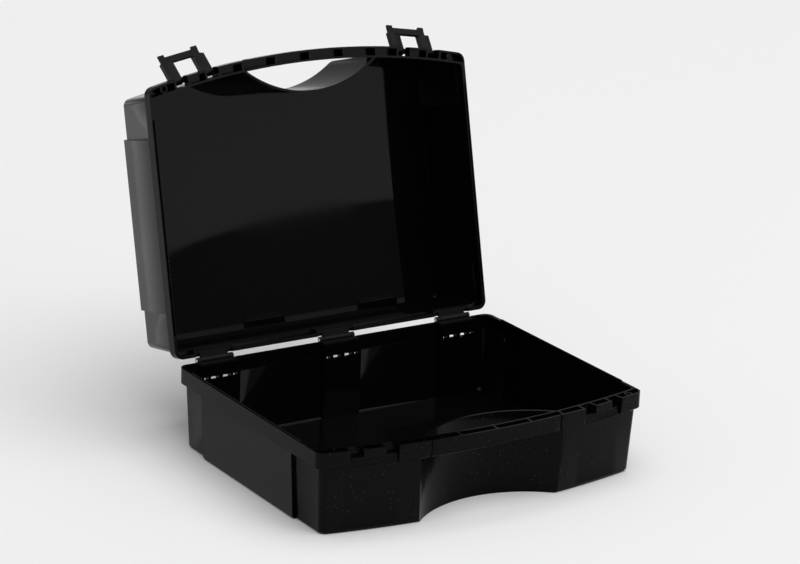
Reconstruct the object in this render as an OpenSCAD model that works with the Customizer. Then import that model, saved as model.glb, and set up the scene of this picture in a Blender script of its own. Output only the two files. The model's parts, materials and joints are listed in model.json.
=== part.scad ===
/* [Case] */
// Width of the case across its rims
case_w = 400; // [360:5:440]
// Depth from the rear rim to the front corners
case_d = 290; // [260:5:320]
// How far the front bows out past its corners
front_bow = 23; // [18:1:28]
// Height of the base up to the parting plane
base_h = 90; // [75:1:120]
// Height of the lid above the parting plane
lid_h = 86; // [70:1:110]
// Gap between the closed rims
rim_gap = 0.3; // [0.2:0.1:0.6]

/* [Walls] */
// Thickness of the moulded walls
wall = 2.6; // [2.2:0.1:3]
// Thickness of the rims' thin outer wall and of the ribs
thin = 2.2; // [1.8:0.1:2.4]
// Height of the base's rim band
base_band = 18; // [17:0.5:22]
// Height of the lid's rim band
lid_band = 12.5; // [12:0.5:14]
// Width of the plain rim along the sides and the rear
rim_w = 4; // [3.8:0.1:4.6]
// Radius of the rim band's corners
band_r = 10; // [9:0.5:14]
// Radius of the walls' corners
body_r = 8; // [7:0.5:10]
// Radius of the edge round the floor and the lid's panel
edge_r = 3; // [2:0.5:4]

/* [Steps in the side walls] */
// Inset of the side walls' middle panels from the rim
panel_in = 1.4; // [1:0.1:2]
// Inset of the walls' corner sections from the rim
corner_in = 5.2; // [4:0.1:6.5]
// Inset of the rear walls from the rim
rear_in = 3.8; // [3:0.1:5]
// Front end of the middle panels
panel_y0 = -90; // [-110:1:-60]
// Rear end of the middle panels
panel_y1 = 96; // [60:1:110]

/* [Front and grip] */
// Inset of the base's front wall from the rim
base_front_in = 4; // [3:0.1:5]
// Inset of the lid's front wall from the rim
lid_front_in = 10; // [9.9:0.1:11]
// Inset of the base rim's inner wall
base_channel = 11; // [10.5:0.1:12]
// Inset of the lid rim's inner wall
lid_channel = 10.2; // [10:0.1:11]
// Radius of the hand scoop
scoop_r = 128; // [120:1:140]
// Depth of the hand scoop, from the front's foremost point
scoop_d = 44; // [40:1:50]
// Half length of the grip between its end walls
grip_half = 84.5; // [80:0.5:92]
// Spacing of the ribs inside the grip
rib_step = 43; // [30:1:48]

/* [Latches] */
// Distance of each latch from the middle
latch_x = 141.2; // [130:0.5:150]
// Half width of a latch
latch_w = 25.9; // [22:0.1:28]
// Half width of a latch's window
window_w = 12.6; // [10:0.1:14]
// Length of a latch from its pivot
latch_len = 31.5; // [30:0.5:34]
// Height of the pivot above the parting plane
pivot_z = 13.5; // [13.2:0.1:14.5]
// Inset of the pivot from the rim
pivot_in = 4.5; // [4.5:0.1:4.8]
// Radius of a latch's barrel
barrel_r = 3.2; // [3:0.1:3.3]
// Radius of a latch's pin
latch_pin_r = 1.3; // [1:0.1:1.6]
// Height of the catch below the parting plane
catch_h = 9; // [8:0.5:9.5]
// Angle by which a latch stands open
latch_open = 122; // [90:1:125]

/* [Hinges] */
// Distance of the outer hinges from the middle
hinge_x = 153; // [120:1:160]
// Half width of a hinge
hinge_w = 22; // [18:0.5:24]
// Length of each outer knuckle
knuckle = 4.5; // [4:0.5:6]
// Radius of the hinge barrels
hinge_r = 3.3; // [3:0.1:3.5]
// Radius of the hinge pins
hinge_pin_r = 1.5; // [1.2:0.1:1.7]
// Distance of the hinge axis behind the rims
axis_back = 3.8; // [3.8:0.1:4.2]
// Height of the hinge axis above the parting plane
axis_up = 0.44; // [0.3:0.02:0.6]
// Angle by which the lid stands open
lid_open = 103.6; // [90:0.1:104]

/* [Hidden] */
black = [0.06, 0.06, 0.065];
grey = [0.16, 0.16, 0.17];
steel = [0.75, 0.76, 0.78];

// Circle that the front follows, and the two ends of the case
bow_r = (pow(case_w / 2, 2) + front_bow * front_bow) / (2 * front_bow);
front_y = -case_d / 2 - front_bow;
bow_y = front_y + bow_r;
rear_y = case_d / 2;
bow_fn = 700;
thin_slice = 0.02;
over = 1;

// Draft of each wall, per millimetre of depth
base_draft = [0.05, 0.04, 0.03];
lid_draft = [0.075, 0.07, 0.03];

// Rim joint: a ridge along the base's sides in a groove of the lid
ridge_w = 1.4;
ridge_h = 1.5;
ridge_gap = 0.3;
groove_h = 3;

// Hand scoop and grip
scoop_y = front_y + scoop_d - scoop_r;
groove_x = 80;
groove_w = 3.6;
groove_d = 1;

// Pegs and sockets that line the two halves up at the front corners
peg_x = case_w / 2 - 18;
peg_y = -case_d / 2 + 1.5;
peg_r = 2;
peg_h = 4;
peg_drop = 1;
boss_r = 3.4;
socket_r = 4.6;

// Latch places, measured along the bow
latch_a = asin(latch_x / bow_r);
notch_gap = 0.8;
notch_in = window_w - 0.7;
notch_out = latch_w + notch_gap;
barrel_gap = 0.3;
catch_top = pivot_z - barrel_r - barrel_gap;
pocket_h = catch_h + 0.5;
recess_in = 4.6;
ear_t = 3;
ear_h = 4.3;
face_out = 4;
leg_in = 3;
leg_deep = 22.4;
window_end = 23.8;
running = 0.06;
pressed = 0.01;

// Hinge places
axis_y = rear_y + axis_back;
axis_z = base_h + axis_up;
hinge_gap = 0.3;
housing_w = hinge_w + 2;
housing_step = 2;
leaf_y = rear_y - 5.8;
leaf_t = 2.2;
leaf_h = 13;
lid_leaf_h = 10;
flange_t = 2;

// Outline of the case seen from above, inset by the given amounts
module outline(side, front, rear, r) {
    hw = case_w / 2 - side;
    fr = bow_r - front;
    corner_y = bow_y - sqrt(pow(fr - r, 2) - pow(hw - r, 2));
    touch_x = (hw - r) * fr / (fr - r);
    back_y = rear_y - rear;
    intersection() {
        translate([0, bow_y])
            circle(fr, $fn = bow_fn);
        translate([-touch_x, front_y - over])
            square([2 * touch_x, corner_y - front_y + 2 * over]);
    }
    translate([-hw, corner_y])
        square([2 * hw, back_y - r - corner_y]);
    translate([-hw + r, corner_y])
        square([2 * hw - 2 * r, back_y - corner_y]);
    for (sx = [-1, 1], y = [corner_y, back_y - r])
        translate([sx * (hw - r), y])
            circle(r, $fn = 48);
}

// Everything behind the line at this inset from the bow
module behind(inset) {
    translate([0, bow_y])
        circle(bow_r - inset, $fn = bow_fn);
}

// Local frame on the bow: x along the rim, y inwards, side 1 is the right latch
module on_bow(side) {
    translate([0, bow_y, 0])
        rotate([0, 0, side * latch_a])
            translate([0, -bow_r, 0])
                children();
}

// Tapering block under the corner sections, t is the distance from the rim plane
module corner_block(t0, t1, front_in, draft, band, more, round_by) {
    hull()
        for (s = [[t0, 0], [t1 - round_by, 0], [t1, round_by]]) {
            t = s[0] - band;
            grow = more + s[1] * 0.6;
            translate([0, 0, s[0] - thin_slice])
                linear_extrude(thin_slice)
                    outline(corner_in + draft[0] * t + grow, front_in + draft[1] * t + grow,
                        rear_in + draft[2] * t + grow, body_r - more);
        }
}

// Tapering block of the two middle panels
module panel_block(t0, t1, draft, band, more, round_by) {
    hull()
        for (s = [[t0, 0], [t1 - round_by, 0], [t1, round_by]]) {
            hw = case_w / 2 - panel_in - draft[0] * (s[0] - band) - more - s[1] * 0.6;
            translate([-hw, panel_y0 + more, s[0] - thin_slice])
                cube([2 * hw, panel_y1 - panel_y0 - 2 * more, thin_slice]);
        }
}

// One half of the case with its rim at zero and its closed side at the given depth
module half_shell(depth, band, front_in, channel, draft) {
    ledge = band - wall;
    difference() {
        union() {
            hull() {
                linear_extrude(band - over)
                    outline(0, 0, 0, band_r);
                linear_extrude(band)
                    outline(over, over, over, band_r - over);
            }
            corner_block(band - over, depth, front_in, draft, band, 0, edge_r);
            panel_block(band - over, depth, draft, band, 0, edge_r);
        }
        difference() {
            union() {
                translate([0, 0, -over])
                    linear_extrude(over + ledge)
                        outline(rim_w, channel + thin, rim_w, band_r - rim_w);
                corner_block(ledge, depth - wall, front_in, draft, band, wall, edge_r);
                panel_block(ledge, depth - wall, draft, band, wall, edge_r);
            }
            translate([0, scoop_y, -2 * over])
                cylinder(r = scoop_r + wall, h = depth + 4 * over, $fn = 200);
        }
        translate([0, 0, -over])
            linear_extrude(over + ledge)
                difference() {
                    outline(thin, thin, thin, band_r - thin);
                    behind(channel);
                }
        translate([0, scoop_y, band])
            cylinder(r = scoop_r, h = depth, $fn = 200);
        translate([0, 0, -over])
            linear_extrude(band + 2 * over)
                intersection() {
                    behind(channel + thin);
                    translate([0, scoop_y])
                        circle(scoop_r, $fn = 200);
                }
        translate([0, 0, -over])
            linear_extrude(band + 2 * over)
                difference() {
                    for (sx = [-1, 1])
                        translate([sx * groove_x - groove_w / 2, front_y - over])
                            square([groove_w, front_bow]);
                    behind(groove_d);
                }
    }
    for (x = [-grip_half, -rib_step, 0, rib_step, grip_half])
        rim_rib(x, ledge, channel);
}

// Cross rib in the front rim's channel
module rim_rib(x, ledge, channel) {
    linear_extrude(ledge + thin / 2)
        intersection() {
            translate([x - thin / 2, front_y])
                square([thin, front_bow + channel]);
            difference() {
                behind(thin / 2);
                behind(channel + thin / 2);
            }
        }
}

// Box in a latch's local frame, from u0 to u1 along the rim on both sides of the middle
module both_sides(u0, u1, in0, in1, t0, t1) {
    for (sx = [-1, 1])
        translate([sx > 0 ? u0 : -u1, in0, t0])
            cube([u1 - u0, in1 - in0, t1 - t0]);
}

// Box in a latch's local frame that is centred on the latch
module centred(u, in0, in1, t0, t1) {
    translate([-u, in0, t0])
        cube([2 * u, in1 - in0, t1 - t0]);
}

// Solid front of the rim round a latch, which the notches are then cut into
module latch_block(channel, t1) {
    intersection() {
        centred(notch_out + thin, thin / 2, channel + thin / 2, 0, t1);
        linear_extrude(t1)
            translate([0, bow_r])
                circle(bow_r - thin / 2, $fn = bow_fn);
    }
}

// Base seen with its rim up, standing on its floor
module place_base() {
    translate([0, 0, base_h])
        mirror([0, 0, 1])
            children();
}

// Lid at its closed place
module place_lid() {
    translate([0, 0, base_h + rim_gap])
        children();
}

// Swings closed pieces of the lid to where they rest open
module opened() {
    translate([0, axis_y, axis_z])
        rotate([-lid_open, 0, 0])
            translate([0, -axis_y, -axis_z])
                children();
}

module at_hinge(i) {
    translate([i * hinge_x, 0, 0])
        children();
}

// Peg on a round boss, standing up from the channel's floor
module peg(x, y, t0, t1) {
    translate([x, y, t1])
        cylinder(r = boss_r, h = t0 - t1, $fn = 40);
    translate([x, y, -peg_h])
        cylinder(r = peg_r, h = peg_h + t0, $fn = 40);
}

module base_shell() {
    ledge = base_band - wall;
    color(black)
        difference() {
            union() {
                place_base() {
                    half_shell(base_h, base_band, base_front_in, base_channel, base_draft);
                    for (side = [-1, 1])
                        on_bow(side)
                            latch_block(base_channel, base_band - 0.5);
                }
                for (i = [-1, 0, 1])
                    at_hinge(i)
                        hinge_housing();
                for (sx = [-1, 1])
                    translate([sx * (case_w / 2 - rim_w / 2) - ridge_w / 2, panel_y0 - 20, base_h - over])
                        cube([ridge_w, panel_y1 - panel_y0 + 40, over + ridge_h]);
                translate([-peg_x, peg_y, base_h - ledge])
                    cylinder(r = boss_r, h = ledge - peg_drop, $fn = 40);
                translate([-peg_x, peg_y, base_h - ledge])
                    cylinder(r = peg_r, h = ledge + peg_h, $fn = 40);
                translate([peg_x, peg_y, base_h - ledge])
                    difference() {
                        cylinder(r = socket_r, h = ledge, $fn = 40);
                        translate([0, 0, ledge - peg_h - over])
                            cylinder(r = socket_r - 1.7, h = peg_h + 2 * over, $fn = 40);
                    }
            }
            for (side = [-1, 1])
                on_bow(side) {
                    both_sides(notch_in, notch_out, -over * 2, base_channel, base_h - pocket_h, base_h + over);
                    centred(notch_out, -over * 2, recess_in, base_h - base_band - over, base_h - catch_h);
                    centred(notch_in - thin, thin, base_channel, base_h - catch_h + thin, base_h + over);
                }
            for (i = [-1, 0, 1])
                at_hinge(i)
                    hinge_pocket();
        }
}

// Thickened wall that a hinge's leaf stands in, running down to the floor
module hinge_housing() {
    translate([-housing_w, rear_y - rear_in - wall - housing_step - 2.2, wall / 2])
        cube([2 * housing_w, wall + housing_step, base_h - 1 - wall / 2]);
    translate([-housing_w, leaf_y - thin, base_h - base_band])
        cube([2 * housing_w, rear_y - over - leaf_y + thin, base_band - 1]);
}

// Slot for a hinge's leaf, its notch in the rim and the four windows below it
module hinge_pocket() {
    translate([-hinge_w - hinge_gap, leaf_y - 0.05, base_h - leaf_h - over])
        cube([2 * (hinge_w + hinge_gap), leaf_t + 0.1, leaf_h + 2 * over]);
    translate([-hinge_w - hinge_gap, leaf_y - 0.05, base_h - flange_t - 0.7])
        cube([2 * (hinge_w + hinge_gap), rear_y - leaf_y + 2 * over, flange_t + 2 * over]);
    for (sx = [-1, 1]) {
        translate([sx * 17.75 - 2.5, rear_y - 12, base_h - 19.5])
            cube([5, 14, 5]);
        translate([sx * 7.25 - 4.75, rear_y - 12, base_h - 19.5])
            cube([9.5, 14, 5]);
    }
}

module lid_shell() {
    ledge = lid_band - wall;
    color(black)
        opened()
            place_lid()
                difference() {
                    union() {
                        half_shell(lid_h - rim_gap, lid_band, lid_front_in, lid_channel, lid_draft);
                        for (side = [-1, 1])
                            on_bow(side) {
                                latch_block(lid_channel, catch_top - rim_gap);
                                latch_ears();
                            }
                        for (i = [-1, 0, 1])
                            at_hinge(i)
                                translate([-housing_w, leaf_y - thin, 0.7])
                                    cube([2 * housing_w, rear_y - over - leaf_y + thin, lid_band - 0.7]);
                        translate([peg_x, peg_y, peg_h])
                            cylinder(r = boss_r, h = ledge - peg_h + over, $fn = 40);
                        translate([-peg_x, peg_y, 0])
                            difference() {
                                cylinder(r = socket_r, h = ledge + over, $fn = 40);
                                translate([0, 0, -over])
                                    cylinder(r = socket_r - 1.6, h = peg_h + 1.5 * over, $fn = 40);
                            }
                    }
                    for (side = [-1, 1])
                        on_bow(side) {
                            both_sides(notch_in, notch_out, -over * 2, lid_channel, -over, lid_band + over);
                            centred(notch_out, -over * 2, lid_channel - 0.3, catch_top - rim_gap, lid_band + over);
                            centred(notch_in - thin, thin, lid_channel, -over, catch_top - rim_gap - thin);
                            translate([-notch_out - ear_t - over, pivot_in, pivot_z - rim_gap])
                                rotate([0, 90, 0])
                                    cylinder(r = latch_pin_r + pressed, h = 2 * (notch_out + ear_t + over), $fn = 40);
                        }
                    for (i = [-1, 0, 1])
                        at_hinge(i) {
                            translate([-hinge_w - hinge_gap, leaf_y - 0.05, -over])
                                cube([2 * (hinge_w + hinge_gap), leaf_t + 0.1, lid_leaf_h + 2 * over]);
                            translate([-hinge_w - hinge_gap, leaf_y - 0.05, -over])
                                cube([2 * (hinge_w + hinge_gap), rear_y - leaf_y + 2 * over, over + 3.3]);
                        }
                    for (sx = [-1, 1])
                        translate([sx * (case_w / 2 - rim_w / 2) - ridge_w / 2 - ridge_gap, panel_y0 - 22, -over])
                            cube([ridge_w + 2 * ridge_gap, panel_y1 - panel_y0 + 44, over + groove_h]);
                }
}

// Pair of ears that hold a latch's pin
module latch_ears() {
    low = lid_band - over;
    top = pivot_z - rim_gap + ear_h;
    for (sx = [-1, 1])
        translate([sx > 0 ? notch_out : -notch_out - ear_t, 0, 0])
            rotate([90, 0, 90])
                linear_extrude(ear_t)
                    polygon([[lid_channel + 1.5, low - 1], [1.5, low - 1], [1.5, top - 2.2],
                        [3.5, top], [lid_channel + 1.5, top]]);
}

// Latch in its own frame: pivot at the origin, x along the rim, y inwards, z up when closed
module latch_frame() {
    difference() {
        union() {
            both_sides(window_w, latch_w, -face_out, leg_in, -leg_deep, 0);
            both_sides(window_w, latch_w, -face_out, 0, 0, barrel_r);
            both_sides(window_w, latch_w, -face_out, -0.3, -window_end - over, -leg_deep + over);
            both_sides(window_w, latch_w - 2.4, -face_out, -0.3, -latch_len, -window_end);
            centred(latch_w - 2.4, -face_out, -0.3, -latch_len, -window_end);
            both_sides(17, 24, -3, -0.5, -latch_len - 3.3, -latch_len + over);
            translate([-latch_w, 0, 0])
                rotate([0, 90, 0])
                    cylinder(r = barrel_r, h = 2 * latch_w, $fn = 48);
        }
        translate([-latch_w - over, 0, 0])
            rotate([0, 90, 0])
                cylinder(r = latch_pin_r + running, h = 2 * (latch_w + over), $fn = 40);
    }
}

module place_latch(side) {
    opened()
        on_bow(side)
            translate([0, pivot_in, base_h + pivot_z])
                rotate([-latch_open, 0, 0])
                    children();
}

module latch_left() {
    color(grey)
        place_latch(-1)
            latch_frame();
}

module latch_right() {
    color(grey)
        place_latch(1)
            latch_frame();
}

module latch_pin() {
    translate([-notch_out - ear_t, 0, 0])
        rotate([0, 90, 0])
            cylinder(r = latch_pin_r, h = 2 * (notch_out + ear_t), $fn = 40);
}

module latch_pin_left() {
    color(steel)
        place_latch(-1)
            latch_pin();
}

module latch_pin_right() {
    color(steel)
        place_latch(1)
            latch_pin();
}

// Round bar along the hinge axis
module on_axis(x0, x1, r) {
    translate([x0, axis_y, axis_z])
        rotate([0, 90, 0])
            cylinder(r = r, h = x1 - x0, $fn = 60);
}

module hinge_base(i) {
    top = base_h - hinge_gap;
    color(grey)
        at_hinge(i)
            difference() {
                union() {
                    translate([-hinge_w, leaf_y, base_h - leaf_h])
                        cube([2 * hinge_w, leaf_t, leaf_h - hinge_gap]);
                    translate([-hinge_w, leaf_y, top - flange_t])
                        cube([2 * hinge_w, rear_y - 0.2 - leaf_y, flange_t]);
                    for (x = [-hinge_w, hinge_w - knuckle]) {
                        translate([x, rear_y - over, top - flange_t])
                            cube([knuckle, axis_back + over, flange_t]);
                        on_axis(x, x + knuckle, hinge_r);
                    }
                }
                on_axis(-hinge_w - over, hinge_w + over, hinge_pin_r + pressed);
            }
}

module hinge_lid(i) {
    low = base_h + rim_gap + 0.7;
    in = hinge_w - knuckle - hinge_gap;
    color(grey)
        opened()
            at_hinge(i)
                difference() {
                    union() {
                        translate([-hinge_w, leaf_y, low])
                            cube([2 * hinge_w, leaf_t, lid_leaf_h - 0.7]);
                        translate([-in, leaf_y, low])
                            cube([2 * in, axis_y - leaf_y, flange_t]);
                        on_axis(-in, in, hinge_r);
                    }
                    on_axis(-hinge_w, hinge_w, hinge_pin_r + running);
                }
}

module hinge_pin(i) {
    color(steel)
        at_hinge(i)
            on_axis(-hinge_w, hinge_w, hinge_pin_r);
}

module hinge_base_left() { hinge_base(-1); }
module hinge_base_centre() { hinge_base(0); }
module hinge_base_right() { hinge_base(1); }
module hinge_lid_left() { hinge_lid(-1); }
module hinge_lid_centre() { hinge_lid(0); }
module hinge_lid_right() { hinge_lid(1); }
module hinge_pin_left() { hinge_pin(-1); }
module hinge_pin_centre() { hinge_pin(0); }
module hinge_pin_right() { hinge_pin(1); }

base_shell();
lid_shell();
latch_left();
latch_right();
latch_pin_left();
latch_pin_right();
hinge_base_left();
hinge_base_centre();
hinge_base_right();
hinge_lid_left();
hinge_lid_centre();
hinge_lid_right();
hinge_pin_left();
hinge_pin_centre();
hinge_pin_right();
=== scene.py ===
"""Looks of the hard tool case: finishes, softened edges, studio and camera."""
import json
import math

import bmesh
import bpy
from bpy.props import FloatProperty, FloatVectorProperty, IntProperty, PointerProperty
from mathutils import Matrix, Vector

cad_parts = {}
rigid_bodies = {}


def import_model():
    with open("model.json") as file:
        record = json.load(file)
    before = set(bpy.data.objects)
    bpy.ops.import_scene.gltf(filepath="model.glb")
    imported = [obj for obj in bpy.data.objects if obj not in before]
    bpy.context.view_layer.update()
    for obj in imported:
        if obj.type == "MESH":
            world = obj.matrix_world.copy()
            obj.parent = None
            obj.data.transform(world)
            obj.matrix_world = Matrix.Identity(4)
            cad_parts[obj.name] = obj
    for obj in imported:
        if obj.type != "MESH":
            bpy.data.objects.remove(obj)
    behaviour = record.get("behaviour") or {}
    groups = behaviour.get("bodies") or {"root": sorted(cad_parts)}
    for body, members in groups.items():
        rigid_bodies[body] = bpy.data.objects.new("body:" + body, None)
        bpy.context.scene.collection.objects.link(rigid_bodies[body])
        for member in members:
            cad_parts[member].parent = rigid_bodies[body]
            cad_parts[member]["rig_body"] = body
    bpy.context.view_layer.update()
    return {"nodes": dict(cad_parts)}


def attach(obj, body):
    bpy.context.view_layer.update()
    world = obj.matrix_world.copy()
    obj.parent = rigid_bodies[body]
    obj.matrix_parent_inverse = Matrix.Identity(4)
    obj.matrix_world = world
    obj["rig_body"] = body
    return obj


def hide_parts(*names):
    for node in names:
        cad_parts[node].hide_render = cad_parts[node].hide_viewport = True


bl_info = {
    "name": "Hard tool case",
    "version": (1, 0, 0),
    "blender": (4, 5, 0),
    "location": "View3D > Sidebar > Tool Case",
    "description": "Finishes the parts of a moulded carry case and lights it",
    "category": "Object",
}

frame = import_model()

MM = 0.001

# Each half: its piece, its CAD node and the middle of its hollow in metres
SHELLS = {
    "base_moulding": ("base_shell", (0, 0, 0.06)),
    "lid_moulding": ("lid_shell", (0, 0.2, 0.23)),
}
SIDES = ("left", "right")
PLACES = ("left", "centre", "right")

# Softened edges: points closer than WELD become one, and faces flatter than FLAT_ANGLE one face
WELD = 0.002 * MM
FLAT_ANGLE = math.radians(0.2)
SHARP_ANGLE = math.radians(28)
BEVEL_ANGLE = math.radians(32)
SMALL_PIECE_STEPS = 2

# Plastics
SHEEN = 0.07
GRAIN_STRENGTH = 0.25
GRAIN_RELIEF = 0.05 * MM
OUTSIDE = {"grain_depth": 0.5, "dust": 0.25}
INSIDE = {"grain_depth": 0.1, "dust": 0.02}
SMALL_PIECE = {"grain_size": 0.6 * MM, "grain_depth": 0.3, "dust": 0.1}

# Patterns that the plastics share, with scales in waves or cells per metre
SURFACE_GROUP = "Moulded surface"
SURFACE_INPUTS = (
    ("Colour", "NodeSocketColor"), ("Roughness", "NodeSocketFloat"), ("Grain scale", "NodeSocketFloat"),
    ("Grain depth", "NodeSocketFloat"), ("Dust", "NodeSocketFloat"),
)
SURFACE_OUTPUTS = (
    ("Colour", "NodeSocketColor"), ("Roughness", "NodeSocketFloat"), ("Height", "NodeSocketFloat"),
)
GRAIN_DETAIL = 2
FLOW_SCALE = 9
FLOW_DETAIL = 3
FLOW_BAND = (0.35, 0.65)
FLOW_ROUGHENING = (-0.03, 0.04)
SPECK_SCALE = 260
SPECK_BAND = (0.04, 0.1)
DUST_COLOUR = (0.5, 0.5, 0.5, 1)

# Middle and half size of the lid's panel along each axis, in metres
PANEL = {"X": (0, 0.19), "Z": (0.235, 0.14)}

# Drawn wire: fine lines along X, and the roughness between and on them
WIRE_STRETCH = (40, 2200, 2200)
NOISE_BAND = (0, 1)
WIRE_ROUGHNESS = (0.18, 0.34)

# Studio, in metres
FLOOR_DROP = 0.2 * MM
SKY_DIRECTION = (0.12, -0.22, 1)
CARD_PLACE = (1.9, -3.0, 1.36)
CARD_TARGET = (0.1, 0.1, 0.35)
CARD_SIZE = (2.0, 1.5)
SENSOR_WIDTH_MM = 36
CLIP_NEAR = 0.1
CLIP_FAR = 60


class MouldingSettings(bpy.types.PropertyGroup):
    """Finish of the two halves"""
    colour: FloatVectorProperty(
        name="Colour", description="Colour of the moulded plastic", subtype="COLOR",
        size=3, min=0, max=1, default=(0.002, 0.002, 0.0021))
    edge: FloatProperty(
        name="Edge radius", description="Radius that the mould leaves on every outer edge",
        unit="LENGTH", default=0.7 * MM, min=0, max=1.5 * MM)
    edge_steps: IntProperty(
        name="Edge steps", description="Facets across a softened edge", default=2, min=1, max=4)
    roughness: FloatProperty(
        name="Outside roughness", description="Roughness of the fine grained outer faces",
        subtype="FACTOR", default=0.18, min=0, max=1)
    polish: FloatProperty(
        name="Inside roughness", description="Roughness of the polished inner faces",
        subtype="FACTOR", default=0.03, min=0, max=1)
    sink: FloatProperty(
        name="Panel bow", description="How far the lid's panel seems to bow in at its middle",
        unit="LENGTH", default=1.8 * MM, min=0, max=5 * MM)
    grain: FloatProperty(
        name="Grain", description="Size of the fine grain of the plastic", unit="LENGTH",
        default=0.5 * MM, min=0.1 * MM, max=4 * MM)


class LatchSettings(bpy.types.PropertyGroup):
    """Finish of the latches"""
    colour: FloatVectorProperty(
        name="Colour", description="Colour of the latches", subtype="COLOR",
        size=3, min=0, max=1, default=(0.004, 0.004, 0.0042))
    roughness: FloatProperty(
        name="Roughness", description="Roughness of the latches",
        subtype="FACTOR", default=0.22, min=0, max=1)
    edge: FloatProperty(
        name="Edge radius", description="Radius on the edges of the latches",
        unit="LENGTH", default=0.4 * MM, min=0, max=1 * MM)


class HingeSettings(bpy.types.PropertyGroup):
    """Finish of the hinges and pins"""
    colour: FloatVectorProperty(
        name="Leaf colour", description="Colour of the hinge leaves", subtype="COLOR",
        size=3, min=0, max=1, default=(0.005, 0.005, 0.0052))
    roughness: FloatProperty(
        name="Roughness", description="Roughness of the hinge leaves",
        subtype="FACTOR", default=0.2, min=0, max=1)
    steel: FloatVectorProperty(
        name="Pin colour", description="Colour of the steel pins", subtype="COLOR",
        size=3, min=0, max=1, default=(0.56, 0.57, 0.59))
    edge: FloatProperty(
        name="Edge radius", description="Radius on the edges of the leaves",
        unit="LENGTH", default=0.3 * MM, min=0, max=1 * MM)


class StageSettings(bpy.types.PropertyGroup):
    """Studio and camera"""
    camera_place: FloatVectorProperty(
        name="Camera place", description="Where the camera stands", subtype="TRANSLATION",
        size=3, default=(-1.617542, -2.434263, 1.139291))
    yaw: FloatProperty(
        name="Yaw", description="Turn of the camera from looking along +Y", subtype="ANGLE",
        default=math.radians(-33.327))
    pitch: FloatProperty(
        name="Pitch", description="Tilt of the camera from level", subtype="ANGLE",
        default=math.radians(-17.869))
    roll: FloatProperty(
        name="Roll", description="Turn of the camera about its line of sight", subtype="ANGLE",
        default=math.radians(2.243))
    focal_px: FloatProperty(
        name="Focal length", description="Focal length in pixels of the photograph",
        subtype="PIXEL", default=2928.198)
    image_width: IntProperty(
        name="Image width", description="Width of the photograph in pixels", subtype="PIXEL",
        default=800)
    backdrop: FloatVectorProperty(
        name="Backdrop", description="Colour of the floor and the background", subtype="COLOR",
        size=3, min=0, max=1, default=(0.855, 0.855, 0.86))
    fill: FloatProperty(
        name="Fill", description="Strength of the light from all sides",
        default=0.44, min=0, max=2)
    sky: FloatProperty(
        name="Overhead light", description="Strength of the wide light overhead",
        default=2.0, min=0, max=10)
    sky_spread: FloatProperty(
        name="Overhead spread", description="Angle that the wide light overhead fills",
        subtype="ANGLE", default=math.radians(74), min=0, max=math.pi)
    card_power: FloatProperty(
        name="Front card", description="Power of the soft light in front at the right",
        unit="POWER", default=17, min=0, max=200)
    floor_size: FloatProperty(
        name="Floor size", description="Length of the floor's sides", unit="LENGTH",
        default=24.0)


def new_material(name):
    """A material with nodes, and its Principled shader."""
    material = bpy.data.materials.new(name)
    material.use_nodes = True
    return material, material.node_tree.nodes["Principled BSDF"]


def set_inputs(node, values):
    """Sets inputs of a node by their names."""
    for name, value in values.items():
        node.inputs[name].default_value = value


def math_node(tree, operation, first, second, clamp=False):
    """Result of a math node, each of whose two inputs is a socket or a number."""
    node = tree.nodes.new("ShaderNodeMath")
    node.operation = operation
    node.use_clamp = clamp
    for socket, value in zip(node.inputs, (first, second)):
        if isinstance(value, bpy.types.NodeSocket):
            tree.links.new(value, socket)
        else:
            socket.default_value = value
    return node.outputs[0]


def map_range(tree, value, band, target):
    """A value stretched from one band to another."""
    node = tree.nodes.new("ShaderNodeMapRange")
    set_inputs(node, {"From Min": band[0], "From Max": band[1], "To Min": target[0], "To Max": target[1]})
    tree.links.new(value, node.inputs["Value"])
    return node.outputs["Result"]


def moulded_surface_group():
    """Fine grain, flow marks and dust that the plastic pieces share."""
    if SURFACE_GROUP in bpy.data.node_groups:
        return bpy.data.node_groups[SURFACE_GROUP]
    group = bpy.data.node_groups.new(SURFACE_GROUP, "ShaderNodeTree")
    for way, sockets in (("INPUT", SURFACE_INPUTS), ("OUTPUT", SURFACE_OUTPUTS)):
        for name, kind in sockets:
            group.interface.new_socket(name, in_out=way, socket_type=kind)
    nodes, links = group.nodes, group.links
    come = nodes.new("NodeGroupInput")
    go = nodes.new("NodeGroupOutput")
    place = nodes.new("ShaderNodeTexCoord")

    grain = nodes.new("ShaderNodeTexNoise")
    set_inputs(grain, {"Detail": GRAIN_DETAIL})
    links.new(come.outputs["Grain scale"], grain.inputs["Scale"])
    flow = nodes.new("ShaderNodeTexNoise")
    set_inputs(flow, {"Scale": FLOW_SCALE, "Detail": FLOW_DETAIL})
    specks = nodes.new("ShaderNodeTexVoronoi")
    set_inputs(specks, {"Scale": SPECK_SCALE})
    for pattern in (grain, flow, specks):
        links.new(place.outputs["Object"], pattern.inputs["Vector"])

    flow_marks = map_range(group, flow.outputs["Fac"], FLOW_BAND, FLOW_ROUGHENING)
    rough = math_node(group, "ADD", come.outputs["Roughness"], flow_marks, clamp=True)
    links.new(rough, go.inputs["Roughness"])

    speck_mask = map_range(group, specks.outputs["Distance"], SPECK_BAND, (1, 0))
    dust = math_node(group, "MULTIPLY", speck_mask, come.outputs["Dust"])
    mix = nodes.new("ShaderNodeMix")
    mix.data_type = "RGBA"
    set_inputs(mix, {"B": DUST_COLOUR})
    links.new(dust, mix.inputs["Factor"])
    links.new(come.outputs["Colour"], mix.inputs["A"])
    links.new(mix.outputs["Result"], go.inputs["Colour"])

    height = math_node(group, "MULTIPLY", grain.outputs["Fac"], come.outputs["Grain depth"])
    links.new(height, go.inputs["Height"])
    return group


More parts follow.
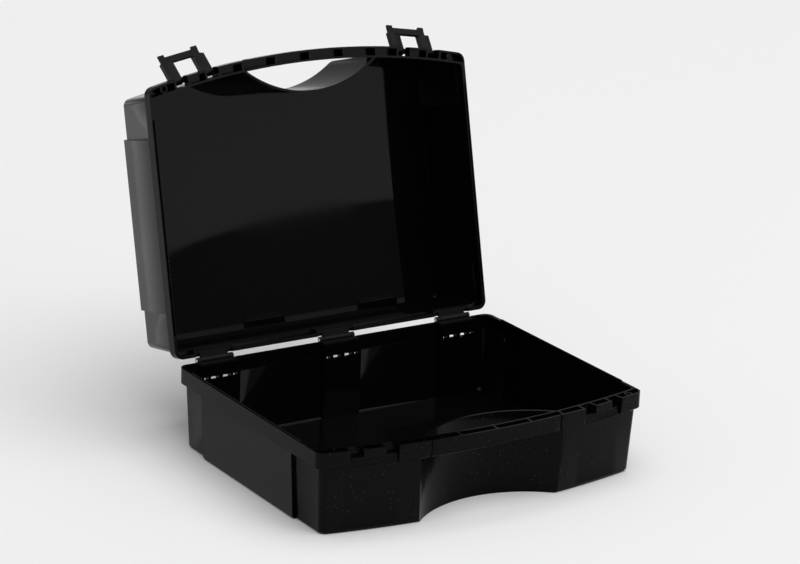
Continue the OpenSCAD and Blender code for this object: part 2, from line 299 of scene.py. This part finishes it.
def plastic(name, colour, roughness, grain_size, grain_depth, dust):
    """Black moulded plastic with its own colour, gloss and grain."""
    material, shader = new_material(name)
    nodes, links = material.node_tree.nodes, material.node_tree.links
    surface = nodes.new("ShaderNodeGroup")
    surface.node_tree = moulded_surface_group()
    set_inputs(surface, {
        "Colour": (*colour, 1), "Roughness": roughness, "Grain scale": 1 / grain_size,
        "Grain depth": grain_depth, "Dust": dust,
    })
    links.new(surface.outputs["Colour"], shader.inputs["Base Color"])
    links.new(surface.outputs["Roughness"], shader.inputs["Roughness"])
    bump = nodes.new("ShaderNodeBump")
    set_inputs(bump, {"Strength": GRAIN_STRENGTH, "Distance": GRAIN_RELIEF})
    links.new(surface.outputs["Height"], bump.inputs["Height"])
    links.new(bump.outputs["Normal"], shader.inputs["Normal"])
    shader.inputs["Specular IOR Level"].default_value = SHEEN
    return material


def pillow(material, rise):
    """Shades the lid's panel as if it bowed in at its middle, as cooling leaves it."""
    tree = material.node_tree
    grain = tree.nodes["Bump"]
    place = tree.nodes.new("ShaderNodeTexCoord")
    split = tree.nodes.new("ShaderNodeSeparateXYZ")
    tree.links.new(place.outputs["Object"], split.inputs["Vector"])
    falls = []
    for axis, (middle, half) in PANEL.items():
        away = math_node(tree, "SUBTRACT", split.outputs[axis], middle)
        share = math_node(tree, "DIVIDE", away, half)
        square = math_node(tree, "MULTIPLY", share, share)
        falls.append(math_node(tree, "SUBTRACT", 1, square, clamp=True))
    bow = tree.nodes.new("ShaderNodeBump")
    set_inputs(bow, {"Distance": rise})
    tree.links.new(math_node(tree, "MULTIPLY", *falls), bow.inputs["Height"])
    tree.links.new(bow.outputs["Normal"], grain.inputs["Normal"])


def steel(name, colour):
    """Drawn wire of the pins."""
    material, shader = new_material(name)
    tree = material.node_tree
    place = tree.nodes.new("ShaderNodeTexCoord")
    stretch = tree.nodes.new("ShaderNodeMapping")
    set_inputs(stretch, {"Scale": WIRE_STRETCH})
    lines = tree.nodes.new("ShaderNodeTexNoise")
    set_inputs(lines, {"Scale": 1})
    tree.links.new(place.outputs["Object"], stretch.inputs["Vector"])
    tree.links.new(stretch.outputs["Vector"], lines.inputs["Vector"])
    gloss = map_range(tree, lines.outputs["Fac"], NOISE_BAND, WIRE_ROUGHNESS)
    tree.links.new(gloss, shader.inputs["Roughness"])
    shader.inputs["Base Color"].default_value = (*colour, 1)
    shader.inputs["Metallic"].default_value = 1
    return material


def studio_card(name, colour):
    """Matt card of the floor."""
    material, shader = new_material(name)
    shader.inputs["Base Color"].default_value = (*colour, 1)
    shader.inputs["Roughness"].default_value = 1
    shader.inputs["Specular IOR Level"].default_value = 0
    return material


def paint(piece, material):
    """Gives a piece one material."""
    piece.data.materials.clear()
    piece.data.materials.append(material)


def face_inwards(piece, middle):
    """Gives the second material to the faces that look towards the middle of the hollow."""
    for face in piece.data.polygons:
        if face.normal.dot(Vector(middle) - face.center) > 0:
            face.material_index = 1


def softened(piece_name, node, edge, steps):
    """A copy of a CAD node with small radii on its edges, which stands for the node."""
    source = frame["nodes"][node]
    mesh = source.data.copy()
    mesh.name = piece_name
    bm = bmesh.new()
    bm.from_mesh(mesh)
    bmesh.ops.remove_doubles(bm, verts=bm.verts, dist=WELD)
    bmesh.ops.dissolve_limit(bm, angle_limit=FLAT_ANGLE, verts=bm.verts, edges=bm.edges)
    bm.to_mesh(mesh)
    bm.free()
    if mesh.has_custom_normals:
        # A zero vector makes Blender work out the normal of that corner itself
        mesh.normals_split_custom_set([(0, 0, 0)] * len(mesh.loops))
    mesh.shade_smooth()
    mesh.set_sharp_from_angle(angle=SHARP_ANGLE)
    piece = bpy.data.objects.new(piece_name, mesh)
    bpy.context.scene.collection.objects.link(piece)
    bevel = piece.modifiers.new("Edge radius", "BEVEL")
    bevel.width = edge
    bevel.segments = steps
    bevel.limit_method = "ANGLE"
    bevel.angle_limit = BEVEL_ANGLE
    bevel.use_clamp_overlap = True
    bevel.harden_normals = True
    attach(piece, source["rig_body"])
    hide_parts(node)
    return piece


class CASE_OT_mouldings(bpy.types.Operator):
    """Softens the edges of the two halves and gives them their plastic"""
    bl_idname = "tool_case.mouldings"
    bl_label = "Base and lid"

    def execute(self, context):
        s = context.scene.case_mouldings
        grained = plastic("Grained plastic", s.colour, s.roughness, s.grain, **OUTSIDE)
        polished = plastic("Polished plastic", s.colour, s.polish, s.grain, **INSIDE)
        pillowed = plastic("Polished lid plastic", s.colour, s.polish, s.grain, **INSIDE)
        pillow(pillowed, s.sink)
        for piece_name, (node, middle) in SHELLS.items():
            piece = softened(piece_name, node, s.edge, s.edge_steps)
            paint(piece, grained)
            piece.data.materials.append(pillowed if node == "lid_shell" else polished)
            face_inwards(piece, middle)
        return {"FINISHED"}


class CASE_OT_latches(bpy.types.Operator):
    """Softens the edges of the latches and gives them their plastic"""
    bl_idname = "tool_case.latches"
    bl_label = "Latches"

    def execute(self, context):
        s = context.scene.case_latches
        finish = plastic("Latch plastic", s.colour, s.roughness, **SMALL_PIECE)
        for side in SIDES:
            piece = softened(f"latch_{side}_frame", f"latch_{side}", s.edge, SMALL_PIECE_STEPS)
            paint(piece, finish)
        return {"FINISHED"}


class CASE_OT_hinges(bpy.types.Operator):
    """Softens the hinge leaves, and gives them and all the pins their finish"""
    bl_idname = "tool_case.hinges"
    bl_label = "Hinges and pins"

    def execute(self, context):
        s = context.scene.case_hinges
        finish = plastic("Hinge plastic", s.colour, s.roughness, **SMALL_PIECE)
        wire = steel("Pin steel", s.steel)
        for place in PLACES:
            for half in ("base", "lid"):
                piece = softened(f"hinge_{half}_{place}_leaf", f"hinge_{half}_{place}", s.edge,
                                 SMALL_PIECE_STEPS)
                paint(piece, finish)
            paint(frame["nodes"][f"hinge_pin_{place}"], wire)
        for side in SIDES:
            paint(frame["nodes"][f"latch_pin_{side}"], wire)
        return {"FINISHED"}


def add_floor(size, material):
    """Flat square floor just under the case."""
    mesh = bpy.data.meshes.new("floor")
    bm = bmesh.new()
    bmesh.ops.create_grid(bm, x_segments=1, y_segments=1, size=size / 2)
    bmesh.ops.translate(bm, verts=bm.verts, vec=(0, 0, -FLOOR_DROP))
    bm.to_mesh(mesh)
    bm.free()
    floor = bpy.data.objects.new("floor", mesh)
    bpy.context.scene.collection.objects.link(floor)
    paint(floor, material)


def add_surroundings(colour, strength):
    """Even light from all sides."""
    world = bpy.data.worlds.new("Studio")
    bpy.context.scene.world = world
    world.use_nodes = True
    set_inputs(world.node_tree.nodes["Background"], {"Color": (*colour, 1), "Strength": strength})


def add_lamp(name, kind, place, direction):
    """Data of a new lamp that stands at a place and shines along a direction."""
    lamp = bpy.data.lights.new(name, kind)
    holder = bpy.data.objects.new(name, lamp)
    bpy.context.scene.collection.objects.link(holder)
    holder.location = place
    holder.rotation_euler = direction.to_track_quat("-Z", "Y").to_euler()
    return lamp


def soft_light(name, place, target, size, power):
    """Rectangular soft light that faces a point."""
    lamp = add_lamp(name, "AREA", place, Vector(target) - Vector(place))
    lamp.shape = "RECTANGLE"
    lamp.size, lamp.size_y = size
    lamp.energy = power


def sky_light(name, direction, spread, strength):
    """Far round light of a given spread, which lights the whole floor evenly."""
    lamp = add_lamp(name, "SUN", direction, -Vector(direction))
    lamp.angle = spread
    lamp.energy = strength


def add_camera(place, yaw, pitch, roll, focal_px, image_width):
    """The photograph's camera, whose focal length is given in its pixels."""
    camera = bpy.data.cameras.new("Camera")
    camera.sensor_fit = "HORIZONTAL"
    camera.sensor_width = SENSOR_WIDTH_MM
    camera.lens = camera.sensor_width * focal_px / image_width
    camera.clip_start, camera.clip_end = CLIP_NEAR, CLIP_FAR
    eye = bpy.data.objects.new("Camera", camera)
    bpy.context.scene.collection.objects.link(eye)
    heading = Matrix.Rotation(yaw, 4, "Z")
    tilt = Matrix.Rotation(math.radians(90) + pitch, 4, "X")
    turn = heading @ tilt @ Matrix.Rotation(roll, 4, "Z")
    eye.matrix_world = Matrix.Translation(place) @ turn
    bpy.context.scene.camera = eye


class CASE_OT_stage(bpy.types.Operator):
    """Floor, background, lights and camera"""
    bl_idname = "tool_case.stage"
    bl_label = "Stage"

    def execute(self, context):
        s = context.scene.case_stage
        add_floor(s.floor_size, studio_card("Studio card", s.backdrop))
        add_surroundings(s.backdrop, s.fill)
        sky_light("Overhead light", SKY_DIRECTION, s.sky_spread, s.sky)
        soft_light("Front card", CARD_PLACE, CARD_TARGET, CARD_SIZE, s.card_power)
        add_camera(s.camera_place, s.yaw, s.pitch, s.roll, s.focal_px, s.image_width)
        context.scene.view_settings.view_transform = "Standard"
        return {"FINISHED"}


class CASE_PT_panel(bpy.types.Panel):
    """Lists the steps that finish the case"""
    bl_label = "Tool Case"
    bl_idname = "CASE_PT_panel"
    bl_space_type = "VIEW_3D"
    bl_region_type = "UI"
    bl_category = "Tool Case"

    def draw(self, context):
        for settings, operator in STEPS:
            box = self.layout.box()
            group = getattr(context.scene, settings)
            for key in group.bl_rna.properties.keys():
                if key not in ("name", "rna_type"):
                    box.prop(group, key)
            box.operator(operator)


STEPS = (
    ("case_stage", "tool_case.stage"),
    ("case_mouldings", "tool_case.mouldings"),
    ("case_latches", "tool_case.latches"),
    ("case_hinges", "tool_case.hinges"),
)
SETTINGS = {
    "case_stage": StageSettings,
    "case_mouldings": MouldingSettings,
    "case_latches": LatchSettings,
    "case_hinges": HingeSettings,
}
CLASSES = (
    *SETTINGS.values(),
    CASE_OT_stage, CASE_OT_mouldings, CASE_OT_latches, CASE_OT_hinges, CASE_PT_panel,
)


def register():
    for cls in CLASSES:
        bpy.utils.register_class(cls)
    for name, cls in SETTINGS.items():
        setattr(bpy.types.Scene, name, PointerProperty(type=cls))


def unregister():
    for name in SETTINGS:
        delattr(bpy.types.Scene, name)
    for cls in reversed(CLASSES):
        bpy.utils.unregister_class(cls)


def main():
    register()
    bpy.ops.tool_case.stage()
    bpy.ops.tool_case.mouldings()
    bpy.ops.tool_case.latches()
    bpy.ops.tool_case.hinges()


if __name__ == "__main__":
    main()
